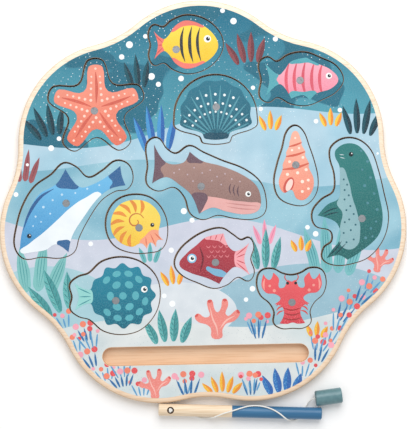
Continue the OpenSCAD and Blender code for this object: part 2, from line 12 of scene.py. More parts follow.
import bpy
from mathutils import Euler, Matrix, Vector


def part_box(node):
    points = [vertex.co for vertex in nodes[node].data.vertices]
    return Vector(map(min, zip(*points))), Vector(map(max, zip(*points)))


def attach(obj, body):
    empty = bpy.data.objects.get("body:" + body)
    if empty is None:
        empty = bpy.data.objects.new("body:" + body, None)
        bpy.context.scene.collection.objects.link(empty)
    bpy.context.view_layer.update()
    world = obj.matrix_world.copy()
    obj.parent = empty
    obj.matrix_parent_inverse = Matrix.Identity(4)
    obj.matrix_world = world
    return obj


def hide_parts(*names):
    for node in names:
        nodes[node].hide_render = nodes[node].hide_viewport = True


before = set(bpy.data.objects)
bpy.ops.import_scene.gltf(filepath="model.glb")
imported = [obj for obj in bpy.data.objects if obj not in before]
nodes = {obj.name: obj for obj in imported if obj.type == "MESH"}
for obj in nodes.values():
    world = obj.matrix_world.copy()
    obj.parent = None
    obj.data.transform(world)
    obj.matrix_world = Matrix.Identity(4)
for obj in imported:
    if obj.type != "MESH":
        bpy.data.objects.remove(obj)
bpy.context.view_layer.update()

MM = 0.001
board_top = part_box("pale_water")[1].z
water_coats = ("deep_water", "mid_water", "pale_water", "sand")
# Where each creature lies on the board, in millimetres
places = {
    "starfish": (-78, 75.5), "round_fish": (-10, 121.5), "scallop": (11, 73),
    "long_fish": (75.5, 94), "spire_shell": (70, 29.5), "seal": (109, 1.5), "whale": (3, 21.5),
    "dolphin": (-97, -2.5), "nautilus": (-49.5, -11.5), "red_fish": (8, -38.5),
    "puffer": (-67, -65), "lobster": (65, -69.5),
}
print(len(nodes), "nodes; the first printed coat ends at", round(board_top / MM, 2), "mm")


def select_only(*objs):
    """Selects these objects and nothing else, as a click in the outliner does."""
    bpy.ops.object.select_all(action="DESELECT")
    for o in objs:
        o.select_set(True)
    bpy.context.view_layer.objects.active = objs[0]


# %% [markdown]
# ## The camera
# The board is photographed square on, so the camera looks straight down at it. A long lens from far
# away keeps the outline free of perspective. The picture is turned by about one degree, and that
# turn is given to the camera, because the board itself stays straight in its own frame.

# %% Camera
PHOTO_SIZE = (407, 429)
MM_PER_PIXEL = 0.7463
BOARD_MIDDLE_PIXEL = (202.5, 206.7)
PICTURE_TURN = math.radians(1.2)
CAMERA_HEIGHT = 1.6
SENSOR = 36

off_right = (PHOTO_SIZE[0] / 2 - BOARD_MIDDLE_PIXEL[0]) * MM_PER_PIXEL * MM
off_up = (BOARD_MIDDLE_PIXEL[1] - PHOTO_SIZE[1] / 2) * MM_PER_PIXEL * MM
seat = Vector((off_right, off_up, board_top + CAMERA_HEIGHT))
seat.rotate(Euler((0, 0, -PICTURE_TURN)))
bpy.ops.object.camera_add(location=seat, rotation=(0, 0, -PICTURE_TURN))
camera = bpy.context.object
camera.name = "straight_down"
camera.data.sensor_width = SENSOR
camera.data.lens = SENSOR * CAMERA_HEIGHT / (PHOTO_SIZE[1] * MM_PER_PIXEL * MM)
camera.data.dof.use_dof = False
bpy.context.scene.camera = camera
bpy.context.scene.view_settings.view_transform = "Standard"
print("lens", round(camera.data.lens, 1), "mm")

# %% [markdown]
# ## Floor and light
# The toy lies on a plain pale floor under a large soft lamp that stands above the top of the
# picture, so each saw cut is darkest along its upper edge and the rod throws a soft shadow.

# %% Floor and light
FLOOR_SIZE = 3
FLOOR_GAP = 0.05 * MM
SKY_STRENGTH = 0.66
LAMP_PLACE = (0.12, 0.9, 1.25)
LAMP_SIZE = 1.2
LAMP_WATTS = 17

bpy.ops.mesh.primitive_plane_add(size=FLOOR_SIZE, location=(0, 0, -FLOOR_GAP))
floor = bpy.context.object
floor.name = "pale_floor"
pale = bpy.data.materials.new("pale_paper")
pale.use_nodes = True
pale.node_tree.nodes["Principled BSDF"].inputs["Base Color"].default_value = (0.97, 0.97, 0.97, 1)
pale.node_tree.nodes["Principled BSDF"].inputs["Roughness"].default_value = 0.9
floor.data.materials.append(pale)

sky = bpy.data.worlds.new("studio")
sky.use_nodes = True
sky.node_tree.nodes["Background"].inputs["Color"].default_value = (1, 1, 1, 1)
sky.node_tree.nodes["Background"].inputs["Strength"].default_value = SKY_STRENGTH
bpy.context.scene.world = sky

# The lamp is square and points at the middle of the board.
aim = (-Vector(LAMP_PLACE)).to_track_quat("-Z", "Y").to_euler()
bpy.ops.object.light_add(type="AREA", location=LAMP_PLACE, rotation=aim)
lamp = bpy.context.object
lamp.name = "key_lamp"
lamp.data.size = LAMP_SIZE
lamp.data.energy = LAMP_WATTS
print("the lamp stands", round(Vector(LAMP_PLACE).length, 2), "m away")

# %% [markdown]
# ## Finishes
# Every surface is a small tree of shader nodes. This helper keeps such a tree short to write. Its
# place is a point on the object in millimetres, so that all sizes below are real ones.

# %% Shader helper


def ink(code):
    """A colour from its six-digit sRGB code."""
    parts = [int(code[i:i + 2], 16) / 255 for i in (1, 3, 5)]
    return [c / 12.92 if c <= 0.04045 else ((c + 0.055) / 1.055) ** 2.4 for c in parts] + [1]


class Finish:
    """A procedural material in the making."""

    def __init__(self, name, roughness=0.5, gloss=0.5):
        self.material = bpy.data.materials.new(name)
        self.material.use_nodes = True
        self.tree = self.material.node_tree
        self.surface = self.tree.nodes["Principled BSDF"]
        self.surface.inputs["Roughness"].default_value = roughness
        self.surface.inputs["Specular IOR Level"].default_value = gloss
        here = self.node("ShaderNodeTexCoord", {}).outputs["Object"]
        self.place = self.scaled(here, (1 / MM, 1 / MM, 1 / MM))
        split = self.node("ShaderNodeSeparateXYZ", {0: self.place})
        self.x, self.y, self.z = split.outputs

    def node(self, kind, inputs, **settings):
        made = self.tree.nodes.new(kind)
        for key, value in settings.items():
            setattr(made, key, value)
        for key, value in inputs.items():
            if isinstance(value, bpy.types.NodeSocket):
                self.tree.links.new(value, made.inputs[key])
            else:
                made.inputs[key].default_value = value
        return made

    def scaled(self, vector, by):
        return self.node("ShaderNodeVectorMath", {0: vector, 1: by}, operation="MULTIPLY").outputs[0]

    def maths(self, operation, a, b=0.0):
        return self.node("ShaderNodeMath", {0: a, 1: b}, operation=operation).outputs[0]

    def times(self, a, b):
        return self.maths("MULTIPLY", a, b)

    def noise(self, size, detail=2.0, stretch=(1, 1, 1)):
        """Soft noise with lumps about size millimetres across, longer where stretch is over 1."""
        at = self.scaled(self.place, [1 / (size * s) for s in stretch])
        return self.node("ShaderNodeTexNoise",
                         {"Vector": at, "Scale": 1.0, "Detail": detail}).outputs["Fac"]

    def dots(self, spacing, radius):
        """1 inside small scattered dots, with their spacing and radius in millimetres."""
        cells = self.node("ShaderNodeTexVoronoi", {"Vector": self.scaled(
            self.place, (1 / spacing, 1 / spacing, 0)), "Scale": 1.0}, voronoi_dimensions="2D")
        return self.between(cells.outputs["Distance"], 1.3 * radius / spacing, 0.7 * radius / spacing)

    def between(self, value, low, high):
        """0 up to low and 1 from high on."""
        return self.node("ShaderNodeMapRange", {"Value": value, "From Min": low, "From Max": high},
                         clamp=True).outputs["Result"]

    def mixed(self, factor, a, b, blend="MIX"):
        """Colour a where the factor is 0 and b where it is 1."""
        made = self.node("ShaderNodeMix", {0: factor, 6: a, 7: b}, data_type="RGBA", blend_type=blend)
        return made.outputs[2]

    def coloured(self, colour):
        self.tree.links.new(colour, self.surface.inputs["Base Color"])
        return self

    def rough(self, value):
        self.tree.links.new(value, self.surface.inputs["Roughness"])
        return self

    def bumped(self, height, depth):
        """Relief of that depth in millimetres."""
        bump = self.node("ShaderNodeBump", {"Height": height, "Distance": depth * MM, "Strength": 1.0})
        self.tree.links.new(bump.outputs["Normal"], self.surface.inputs["Normal"])
        return self


def finish_node(name, finish):
    """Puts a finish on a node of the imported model."""
    slots = nodes[name].data.materials
    slots.clear()
    slots.append(finish.material)


# %% [markdown]
# ## Bare wood
# The two panels are birch plywood. Its faces show fine grain that runs along the board, its edge
# shows thin plies, and the saw has scorched the walls of the cut-outs. That dark brown is also painted
# shade of the narrow cuts. The rim is painted a little creamier at the top of the board than at the
# bottom, as painted light and shade from the lamp above the top.

# %% Birch
PLY = 1.5
BOARD_REACH = 150


def birch(finish, top, bottom):
    """Face of birch, with its grain along X and a slow change of tone from bottom to top, which is
    painted light: lighter at the top, towards the lamp.
    """
    tone = finish.mixed(finish.between(finish.y, -BOARD_REACH, BOARD_REACH), ink(bottom), ink(top))
    streak = finish.noise(1.1, 4, (26, 1, 1))
    flame = finish.noise(9, 2, (5, 1, 1))
    dark = finish.times(finish.between(streak, 0.46, 0.7), 0.5)
    tone = finish.mixed(dark, tone, ink("#d5a67c"))
    return finish.mixed(finish.times(finish.between(flame, 0.35, 0.75), 0.25), tone, ink("#f8e6cf"))


def plies(finish):
    """Edge of the plywood: dark and light plies, one above the other."""
    band = finish.maths("PINGPONG", finish.z, PLY)
    light = finish.mixed(finish.noise(0.8, 3, (12, 12, 1)), ink("#ecd4b0"), ink("#e2c198"))
    dark = finish.mixed(finish.noise(0.5, 3, (1, 1, 3)), ink("#c39a6c"), ink("#b5875a"))
    return finish.mixed(finish.between(band, 0.55 * PLY, 0.65 * PLY), light, dark)


def upright(finish):
    """1 on upright walls and 0 on level faces."""
    normal = finish.node("ShaderNodeNewGeometry", {}).outputs["Normal"]
    level = finish.maths("ABSOLUTE", finish.node("ShaderNodeSeparateXYZ", {0: normal}).outputs[2])
    return finish.between(level, 0.75, 0.45)


def grain_height(finish):
    """Fine relief of the grain, which also shows through the ink."""
    return finish.noise(0.5, 4, (30, 1, 1))


# %% Back panel
back = Finish("back_birch", 0.6, 0.25)
face = birch(back, "#eeccab", "#eecaa8")
back.coloured(back.mixed(upright(back), face, plies(back))).bumped(grain_height(back), 0.05)
finish_node("back_panel", back)
print("plies of", PLY, "mm")

# %% Front panel
# The scorched walls lie inside a line that follows the lobes of the rim, and above the slot, which
# was milled and stays pale. Their dark brown is scorch and also painted shade of the narrow cuts. The
# narrow bare edge along each cut is painted brown, partly as scorch and partly as painted shade.
LOBES = 7
LINE_REACH = 142.9
LINE_SWELL = 6
SLOT_TOP = -102

front = Finish("front_birch", 0.55, 0.25)
# The face is painted lighter at the top of the board and darker at the bottom: painted light and shade.
face = birch(front, "#faeeda", "#edd1b4")
angle = front.maths("SUBTRACT", front.maths("ARCTAN2", front.y, front.x), math.pi / 2)
swell = front.times(front.maths("COSINE", front.times(angle, LOBES)), LINE_SWELL)
inner = front.maths("ADD", swell, LINE_REACH)
radius = front.node("ShaderNodeVectorMath", {0: front.scaled(front.place, (1, 1, 0))},
                    operation="LENGTH").outputs["Value"]
inside = front.maths("LESS_THAN", radius, inner)
above_slot = front.maths("GREATER_THAN", front.y, SLOT_TOP)
# The cut walls are painted dark brown, as scorch and as painted shade of the narrow cuts.
scorch_and_shade = front.mixed(front.noise(1.2, 3, (1, 1, 4)), ink("#2a1c14"), ink("#4a3222"))
slot_wall = front.mixed(front.noise(0.7, 3, (12, 12, 1)), ink("#dcb48c"), ink("#bd8f66"))
wall = front.mixed(inside, plies(front), front.mixed(above_slot, slot_wall, scorch_and_shade))
# The bare edge along each cut is browned, as scorch and as painted shade of the cut.
browned_and_shaded = front.times(front.times(inside, above_slot), 0.8)
face = front.mixed(browned_and_shaded, face, ink("#6e5038"))
front.coloured(front.mixed(upright(front), face, wall)).bumped(grain_height(front), 0.04)
finish_node("front_panel", front)
print("cuts lie within", LINE_REACH + LINE_SWELL, "mm of the middle")

# %% Loose pieces
# A loose piece shows only its scorched sides and its plain underside. The dark brown of the sides
# is scorch and also painted shade of the narrow cuts.
loose = Finish("scorched_and_shaded_birch", 0.65, 0.2)
# Dark brown sides: scorch and painted shade.
side = loose.mixed(loose.noise(1.2, 3, (1, 1, 4)), ink("#38261b"), ink("#6b4a30"))
loose.coloured(loose.mixed(upright(loose), birch(loose, "#efd3ab", "#f0d0a8"), side))
loose.bumped(loose.noise(0.4, 3, (1, 1, 6)), 0.08)
for name in places:
    finish_node(name, loose)
print("birch on", 2 + len(places), "nodes")

# %% [markdown]
# ## The printed sea
# The sea is printed before the creatures are sawn out, so its bands run on across the cuts. One
# finish serves the bands on the board and the ground of each loose piece. The wave lines repeat the
# ones that the bands were made with.

# %% Sea print
# Each wave line is its height, its rise across WAVE_RUN, its swell and its shift in degrees.
DEEP_EDGE = (62, 16, 8, 40)
MID_TOP = (26, -12, 7, 150)
MID_LOW = (-18, -9, 10, 60)
SAND_EDGE = (-86, 7, 6, 200)
WAVE_RUN = 160
WAVE_TURN = math.radians(1.7)
WAVE_BLUR = 0.12


def above_wave(finish, wave):
    """1 above a wave line and 0 below it."""
    y, rise, swell, shift = wave
    turn = finish.maths("ADD", finish.times(finish.x, WAVE_TURN), math.radians(shift))
    line = finish.maths("ADD", finish.times(finish.x, rise / WAVE_RUN),
                        finish.times(finish.maths("SINE", turn), swell))
    gap = finish.maths("SUBTRACT", finish.maths("SUBTRACT", finish.y, line), y)
    return finish.between(gap, -WAVE_BLUR, WAVE_BLUR)


def print_grain(finish, colour, depth=0.1):
    """Matt ink with a fine uneven grain, as print on wood has."""
    fleck = finish.between(finish.noise(0.7, 4), 0.4, 0.8)
    cloud = finish.between(finish.noise(14, 3), 0.3, 0.7)
    colour = finish.mixed(finish.times(fleck, depth), colour, (1, 1, 1, 1))
    return finish.mixed(finish.times(cloud, depth * 1.5), colour, ink("#7f9db0"), "MULTIPLY")


def dune(finish, x, y, wide, high):
    """1 inside an oval hill with that middle and those half sizes."""
    across = finish.maths("POWER", finish.maths("DIVIDE", finish.maths("SUBTRACT", finish.x, x), wide), 2)
    up = finish.maths("POWER", finish.maths("DIVIDE", finish.maths("SUBTRACT", finish.y, y), high), 2)
    return finish.between(finish.maths("ADD", across, up), 1.003, 0.997)


# %% The sea's ink
sea = Finish("sea_print", 0.5, 0.15)
deep = sea.mixed(sea.between(sea.y, 52, 140), ink("#56a3b3"), ink("#1a6f89"))
patch = sea.between(sea.noise(30, 1.5, (1.6, 1, 1)), 0.53, 0.545)
deep = sea.mixed(patch, deep, ink("#1f6a80"))
pale_top = sea.mixed(sea.between(sea.noise(38, 1), 0.35, 0.65), ink("#a3cadb"), ink("#b6d2e0"))
middle = sea.mixed(sea.between(sea.noise(40, 1), 0.45, 0.6), ink("#7db2c5"), ink("#98c4d3"))
lower = sea.mixed(sea.between(sea.y, -20, -90), ink("#cdd0de"), ink("#c3d1dd"))
lower = sea.mixed(dune(sea, 78, -92, 84, 48), lower, ink("#97bccb"))
lower = sea.mixed(dune(sea, -118, -92, 62, 50), lower, ink("#a6cbd4"))
lower = sea.mixed(dune(sea, -22, -78, 46, 22), lower, ink("#d9dfe4"))
sand = sea.mixed(sea.between(sea.noise(26, 2, (3, 1, 1)), 0.4, 0.6), ink("#ced9da"), ink("#dde1e0"))
specks = sea.times(sea.dots(3.1, 0.2), sea.between(sea.noise(16, 1), 0.45, 0.6))
sand = sea.mixed(specks, sand, ink("#a9b7bb"))
water = sea.mixed(above_wave(sea, SAND_EDGE), sand, lower)
water = sea.mixed(above_wave(sea, MID_LOW), water, middle)
water = sea.mixed(above_wave(sea, MID_TOP), water, pale_top)
water = sea.mixed(above_wave(sea, DEEP_EDGE), water, deep)
foam = sea.times(sea.dots(4.6, 0.3), sea.between(sea.noise(22, 1), 0.42, 0.6))
foam = sea.times(foam, sea.maths("ADD", sea.times(sea.between(sea.y, 20, 80), 0.7), 0.3))
sea.coloured(sea.mixed(foam, print_grain(sea, water), ink("#f4f9fb")))
sea.bumped(grain_height(sea), 0.02)
for name in [*water_coats, *(creature + "_ground" for creature in places)]:
    finish_node(name, sea)
print("the sea runs over", len(water_coats) + len(places), "nodes")

# %% [markdown]
# ## Printed plants and figures
# Each field of ink gets a slow change from one tone to another and a stipple of small dots, which
# is how such prints are shaded without lines.

# %% Shaded ink


def shaded_ink(name, low, high, start, end, stipple):
    """Ink that goes from low to high between two places up the board, with dots of a third."""
    made = Finish(name, 0.5, 0.15)
    wander = made.times(made.maths("SUBTRACT", made.noise(9, 2), 0.5), 8)
    up = made.maths("ADD", made.y, wander)
    tone = made.mixed(made.between(up, start, end), ink(low), ink(high))
    spray = made.times(made.dots(1.5, 0.3), made.between(up, end, start))
    tone = made.mixed(made.times(spray, 0.6), tone, ink(stipple))
    made.coloured(print_grain(made, tone, 0.07)).bumped(grain_height(made), 0.02)
    return made


# %% Inks of the plants
# The two tones and the stipple of each kind
plant_inks = {
    "weed": ("#103c4a", "#1b5562", "#2e7480"),
    "frond": ("#4fa6a6", "#7cc4c0", "#a8d9d3"),
    "blue_weed": ("#2b6fb4", "#4fa0d4", "#8cc4e8"),
    "sun_tufts": ("#f0b432", "#f6cf4c", "#fbe28c"),
    "coral": ("#ec8a80", "#e9837c", "#f5b5ab"),
    "stems": ("#2c669d", "#3f84b5", "#5f9fc9"),
    "blossoms": ("#e04f55", "#e8615f", "#f08a84"),
    "bubbles": ("#f2f7f9", "#ffffff", "#e4eff4"),
}
for name, (low, high, stipple) in plant_inks.items():
    finish_node(name, shaded_ink(name + "_ink", low, high, -BOARD_REACH, BOARD_REACH, stipple))
print("shaded ink on", len(plant_inks), "kinds of plant")

# %% Inks of the creatures
# The two tones and the stipple of each, and how far its shading reaches down
figure_inks = {
    "starfish": ("#e4765f", "#f19680", "#c95f50", 32),
    "round_fish": ("#edc02f", "#f6d84d", "#e39a38", 20),
    "scallop": ("#1d5668", "#2d7388", "#5fa3b4", 24),
    "long_fish": ("#ec8aa0", "#f5aebd", "#dc6478", 18),
    "spire_shell": ("#ec8f78", "#f5b29c", "#de6a5c", 28),
    "seal": ("#1f5f60", "#2f7a78", "#5ba19b", 46),
    "whale": ("#8f706b", "#a9887f", "#6a4c48", 26),
    "dolphin": ("#3f8dc4", "#6db7e2", "#2f6fa8", 36),
    "nautilus": ("#efc240", "#f6da62", "#e8953a", 20),
    "red_fish": ("#8f2a3a", "#b5404c", "#dd6f70", 20),
    "puffer": ("#136479", "#23829a", "#55aebb", 26),
    "lobster": ("#cf3f4c", "#e65d62", "#f3928f", 20),
}
for name, (low, high, stipple, reach) in figure_inks.items():
    y = places[name][1]
    made = shaded_ink(name + "_ink", low, high, y - reach, y + reach * 0.6, stipple)
    finish_node(name + "_figure", made)
print("shaded ink on", len(figure_inks), "creatures")

# %% [markdown]
# ## Fine print
# The solids carry the large fields of ink. The finer ones are drawn here as flat outlines: brush
# strokes that thin out at their ends, ovals, and shapes through a few points.

# %% Outlines
# How far each piece has settled to the right and down in its recess
SETTLE = 0.3
DROP = Vector((SETTLE, -SETTLE, 0))


def eased(points, steps):
    """A smooth route through the points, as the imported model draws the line's."""
    last = len(points) - 1
    ways = [(points[min(i + 1, last)] - points[max(i - 1, 0)]).normalized() for i in range(last + 1)]
    out = []
    for i in range(last):
        p, q = points[i], points[i + 1]
        chord = (q - p).length
        for k in range(steps):
            t = k / steps
            out.append((2 * t**3 - 3 * t**2 + 1) * p + (t**3 - 2 * t**2 + t) * chord * ways[i]
                       + (3 * t**2 - 2 * t**3) * q + (t**3 - t**2) * chord * ways[i + 1])
    return out + [points[last]]


def stroke(points, width, ends=0.2):
    """Outline of a brush stroke along the points, thinner at both ends."""
    spine = eased([Vector((p[0], p[1], 0)) for p in points], 5)
    last = len(spine) - 1
    left, right = [], []
    for i, p in enumerate(spine):
        way = (spine[min(i + 1, last)] - spine[max(i - 1, 0)]).normalized()
        half = width / 2 * (ends + (1 - ends) * math.sin(math.pi * i / last))
        left.append((p.x - way.y * half, p.y + way.x * half, 1))
        right.append((p.x + way.y * half, p.y - way.x * half, 1))
    return left + right[::-1]


def oval(x, y, wide, high=None, turn=0):
    """Outline of an oval with its half width and half height."""
    high = high or wide
    c, s = math.cos(math.radians(turn)), math.sin(math.radians(turn))
    steps = 12 if wide < 1.3 else 20
    ring = [(wide * math.cos(a), high * math.sin(a)) for a in
            [2 * math.pi * k / steps for k in range(steps)]]
    return [(x + u * c - v * s, y + u * s + v * c, 1) for u, v in ring]


def strokes(width, *routes):
    """Strokes of one width."""
    return [stroke(route, width) for route in routes]


# %% Turned points


def rotated(x, y, degrees):
    """A point turned about the origin."""
    c, s = math.cos(math.radians(degrees)), math.sin(math.radians(degrees))
    return x * c - y * s, x * s + y * c


def placed(x, y, across, up, degrees):
    """A point that lies across and up from (x, y), turned about it."""
    u, v = rotated(across, up, degrees)
    return x + u, y + v


# %% [markdown]
# Each print goes right through the coat that it lies on and is cut to that coat's own edge, so it
# never runs over a saw cut or a disc. It then stands a few hundredths of a millimetre higher. Prints
# that overlap are on different layers, and the outlines of one print never cross.

# %% Plain ink
inks_made = {}


def plain_ink(code):
    """Matt ink of one colour, with the grain of print on wood."""
    if code not in inks_made:
        made = Finish("ink_" + code[1:], 0.5, 0.15)
        made.coloured(print_grain(made, ink(code))).bumped(grain_height(made), 0.02)
        inks_made[code] = made
    return inks_made[code]


# %% Printing on a coat
LAYER = 0.03 * MM
MERGE = 0.002 * MM
printed = []
stencils = {}


def merged(piece):
    """Merges the doubled points of a mesh and turns its faces outwards."""
    select_only(piece)
    bpy.ops.object.mode_set(mode="EDIT")
    bpy.ops.mesh.select_all(action="SELECT")
    bpy.ops.mesh.remove_doubles(threshold=MERGE)
    bpy.ops.mesh.normals_make_consistent(inside=False)
    bpy.ops.object.mode_set(mode="OBJECT")


def stencil(node):
    """A merged copy of a coat, which the print on it is cut to."""
    if node not in stencils:
        select_only(nodes[node])
        bpy.ops.object.duplicate()
        stencils[node] = bpy.context.object
        stencils[node].name = "stencil_" + node
        merged(stencils[node])
    return stencils[node]


def drawn(name, outlines):
    """A slab with these closed outlines, in millimetres. A point with a third value is a corner."""
    curve = bpy.data.curves.new(name, "CURVE")
    curve.dimensions = "2D"
    curve.fill_mode = "BOTH"
    curve.resolution_u = 5
    curve.extrude = 1
    for outline in outlines:
        spline = curve.splines.new("BEZIER")
        spline.bezier_points.add(len(outline) - 1)
        for bend, p in zip(spline.bezier_points, outline):
            bend.co = (p[0], p[1], 0)
            bend.handle_left_type = bend.handle_right_type = "VECTOR" if len(p) > 2 else "AUTO"
        spline.use_cyclic_u = True
    made = bpy.data.objects.new(name, curve)
    bpy.context.collection.objects.link(made)
    select_only(made)
    bpy.ops.object.convert(target="MESH")
    return bpy.context.object


def print_on(node, name, code, outlines, layer=1, at=None):
    """Prints outlines on a coat. They are drawn about a settled piece's middle where one is given."""
    edge = stencil(node)
    shift = Vector((*at, 0)) + DROP if at else Vector((0, 0, 0))
    made = drawn(name, outlines)
    made.scale = (MM, MM, MM)
    made.location = shift * MM + Vector((0, 0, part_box(node)[1].z))
    bpy.ops.object.transform_apply(location=True, rotation=True, scale=True)
    merged(made)
    cut = made.modifiers.new("cut_to_coat", "BOOLEAN")
    cut.operation = "INTERSECT"
    cut.solver = "EXACT"
    cut.object = edge
    bpy.ops.object.modifier_apply(modifier=cut.name)
    if not made.data.polygons:
        print("nothing of", name, "lies on", node)
        bpy.ops.object.delete()
        return
    made.location.z = layer * LAYER
    bpy.ops.object.transform_apply(location=True, rotation=False, scale=False)
    made.data.materials.clear()
    made.data.materials.append(plain_ink(code).material)
    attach(made, "root")
    printed.append(name)


def mark(creature, name, code, outlines, layer=1):
    """Prints a marking on a creature, with the outlines drawn about its own middle."""
    print_on(creature + "_figure", creature + "_" + name, code, outlines, layer, places[creature])


def eye(creature, x, y, size):
    """A fish's round eye: white, with a dark pupil and a small glint."""
    mark(creature, "eye", "#fbfbf8", [oval(x, y, size)], 3)
    mark(creature, "pupil", "#22262c", [oval(x + 0.15 * size, y, size * 0.55)], 4)
    mark(creature, "glint", "#ffffff", [oval(x + 0.35 * size, y + 0.25 * size, size * 0.17)], 5)


# %% [markdown]
# ## The creatures
# Each creature is drawn about its own middle, with x to the right and y up, in millimetres. Its
# markings are repeated by loops: five arms, a fan of ribs, rows of scales.

# %% Starfish
ridges, beads, pale_beads = [], [], []
for k in range(5):
    turn = 72 * k
    ridges.append(stroke([rotated(0, 4, turn), rotated(0.6, 15, turn), rotated(0, 27, turn)], 2.2))
    for j, r in enumerate((10, 14.5, 19, 23.5)):
        for s in (-1, 1):
            beads.append(oval(*rotated(s * (3.9 - 0.25 * j), r, turn), 1.05 - 0.1 * j))
    pale_beads += [oval(*rotated(0, 29.5, turn), 0.9), oval(*rotated(4.4, 5.6, turn), 1.1)]
mark("starfish", "ridges", "#d2604f", ridges)
mark("starfish", "beads", "#fad2c2", beads + pale_beads)
print(len(beads) + len(pale_beads), "beads")

# %% Round fish
mark("round_fish", "fins", "#ee7a6e", [
    [(-16.5, 4.6), (-25, 11.5, 1), (-21.5, 0), (-25, -11.5, 1), (-16.5, -4.6), (-18, 0)],
    [(-12, 10.5), (-8, 15), (0, 19), (10, 16.5), (14, 13.5), (6, 14.2), (-2, 13.6)],
    [(-12, -10.5), (-8, -15), (0, -19), (10, -16.5), (14, -13.5), (6, -14.2), (-2, -13.6)]])
mark("round_fish", "bands", "#30343a", [
    stroke([(-1.5, 13), (-3.4, 5), (-3.2, -5), (-1, -13)], 2.3, 0.1),
    stroke([(4.5, 13.5), (2.8, 5), (3, -5), (5, -13.5)], 2.5, 0.1),
    stroke([(10.5, 12.5), (8.6, 5), (8.8, -4), (10.8, -12.5)], 2.2, 0.1)], 2)
mark("round_fish", "tail_lines", "#c84f4c", strokes(
    0.7, [(-17.5, 1.8), (-23, 7.4)], [(-17.5, 0), (-21, 0)], [(-17.5, -1.8), (-23, -7.4)]), 2)
eye("round_fish", 16, 4, 2.7)

# %% Scallop shell
# The ribs fan out to both sides from a point below the middle, and the outer ones are shorter.
FAN, FAN_DOWN, RIB_STEP = 66, 22, 12
ribs, spots = [], []
for turn in range(-FAN, FAN + 1, RIB_STEP):
    reach = 40 - 13 * (abs(turn) / FAN) ** 1.6
    ribs.append(stroke([rotated(0, 7, turn), rotated(0, reach * 0.6, turn), rotated(0, reach, turn)],
                       1.5, 0.35))
ribs = [[(x, y - FAN_DOWN, 1) for x, y, _ in rib] for rib in ribs]
for turn in range(6 - FAN, FAN - 5, RIB_STEP):
    for r in (20, 26.5, 33):
        if r < 36 - 10 * (abs(turn) / FAN) ** 1.6:
            spots.append(oval(*placed(0, -FAN_DOWN, 0, r, turn), 0.55 + r / 70))
mark("scallop", "ribs", "#4f93a2", ribs)
mark("scallop", "spots", "#eef5f4", spots, 2)
hinge = [(-9.5, -19.5), (0, -18), (9.5, -19.5), (9, -24), (-9, -24)]
mark("scallop", "hinge", "#184c60", [hinge], 3)
print(len(ribs), "ribs and", len(spots), "spots")

# %% Long fish
mark("long_fish", "stripes", "#dd5b6c", [
    stroke([(x + 1, 15 - abs(x - 2) * 0.25), (x - 1.2, 4), (x - 1.2, -5), (x + 1, -14)], 2.4, 0.15)
    for x in (-10, -4, 2.5, 9, 15)])
mark("long_fish", "fins", "#55a7b2", [
    [(-17, 3.6), (-28, 13.5, 1), (-24, 0), (-28, -13.5, 1), (-17, -3.6), (-18.5, 0)],
    [(-9, 12.8), (-4, 15), (4, 17.5, 1), (14, 11), (5, 12.2), (-3, 11.6)],
    [(-9.5, -10.5), (-8, -15.5, 1), (0, -12.5), (6, -17.5, 1), (11.5, -10.8), (1, -9.6)]], 2)
eye("long_fish", 20.5, 2, 2.3)

# %% Spire shell
mark("spire_shell", "whorls", "#d4634f", [
    stroke([(-5.4, 14.2), (0, 15.4), (5.6, 17.6)], 1.5, 0.3),
    stroke([(-8, 6.8), (0, 8), (8, 10.6)], 1.7, 0.3),
    stroke([(-11, -2.8), (0, -1.6), (11, 2)], 1.9, 0.3)])
mark("spire_shell", "opening", "#c9574c", [oval(-5.6, -14.6, 3.6, 6.4, -24)])
mark("spire_shell", "lip", "#f9d3c9", [oval(-5.2, -14.4, 2.2, 4.8, -24)], 2)
mark("spire_shell", "spots", "#fbe3d3", [
    oval(*spot) for spot in ((0, 20.6, 0.8), (-2.6, 11.6, 0.9), (2.6, 13, 0.9), (-4.6, 3, 1.1),
                             (5.4, 6, 1.1), (-6.4, -6.4, 1.2), (1.2, -5.4, 1.2), (7.6, -3.2, 1.2),
                             (4.6, -12, 1.3), (9, -11, 1.1), (4.4, -19.4, 1.1), (9, -17.4, 1))], 2)

# %% Seal
mark("seal", "belly", "#8db4ba", [
    [(-6, 26), (-6.8, 14), (-7.5, 3), (-9, -1), (-5, -8), (-6.5, -16), (-8, -26), (-5, -34),
     (4, -34), (8, -22), (6, -8), (2.5, 4), (0, 16)]])
mark("seal", "belly_spots", "#2c6470", [
    oval(x, y, 0.75) for x, y in ((-3.5, 17), (-3, 9), (-1, 13), (-3.2, 2), (0, 5), (1, -3), (-2, -6),
                                  (3.4, -9), (0, -13), (-3.4, -15), (4.6, -17), (1, -21), (-4.4, -23),
                                  (3, -28), (-2.4, -30))], 2)
mark("seal", "flipper_lines", "#123c47", strokes(
    0.9, [(-20, -8.6), (-14, -5.5), (-8, -4)], [(-19, -10), (-13, -8.2), (-8, -7.5)],
    [(-15.5, -39.5), (-10, -34.5), (-6, -29)], [(-11, -39), (-7, -35), (-3, -31)]), 3)
mark("seal", "back_spots", "#4f8a95", [
    oval(*spot) for spot in ((10, 38, 0.9), (14.5, 30, 1.1), (10.5, 24, 0.8), (16.5, 18, 1),
                             (12, 12, 1.2), (19, 6, 0.9), (14, -1, 1), (21, -6, 1.1), (16, -20, 1),
                             (20, -15, 0.8), (12, -27, 1.1), (17, -26, 0.8))])
mark("seal", "eye", "#0d2228", [oval(2.4, 35.6, 1.7)], 2)
mark("seal", "glint", "#ffffff", [oval(2.9, 36.2, 0.45)], 3)
mark("seal", "whiskers", "#d8e6e8", strokes(
    0.5, [(-6, 33.6), (-2.4, 32.6)], [(-6.4, 35.6), (-2.8, 35.2)]), 2)

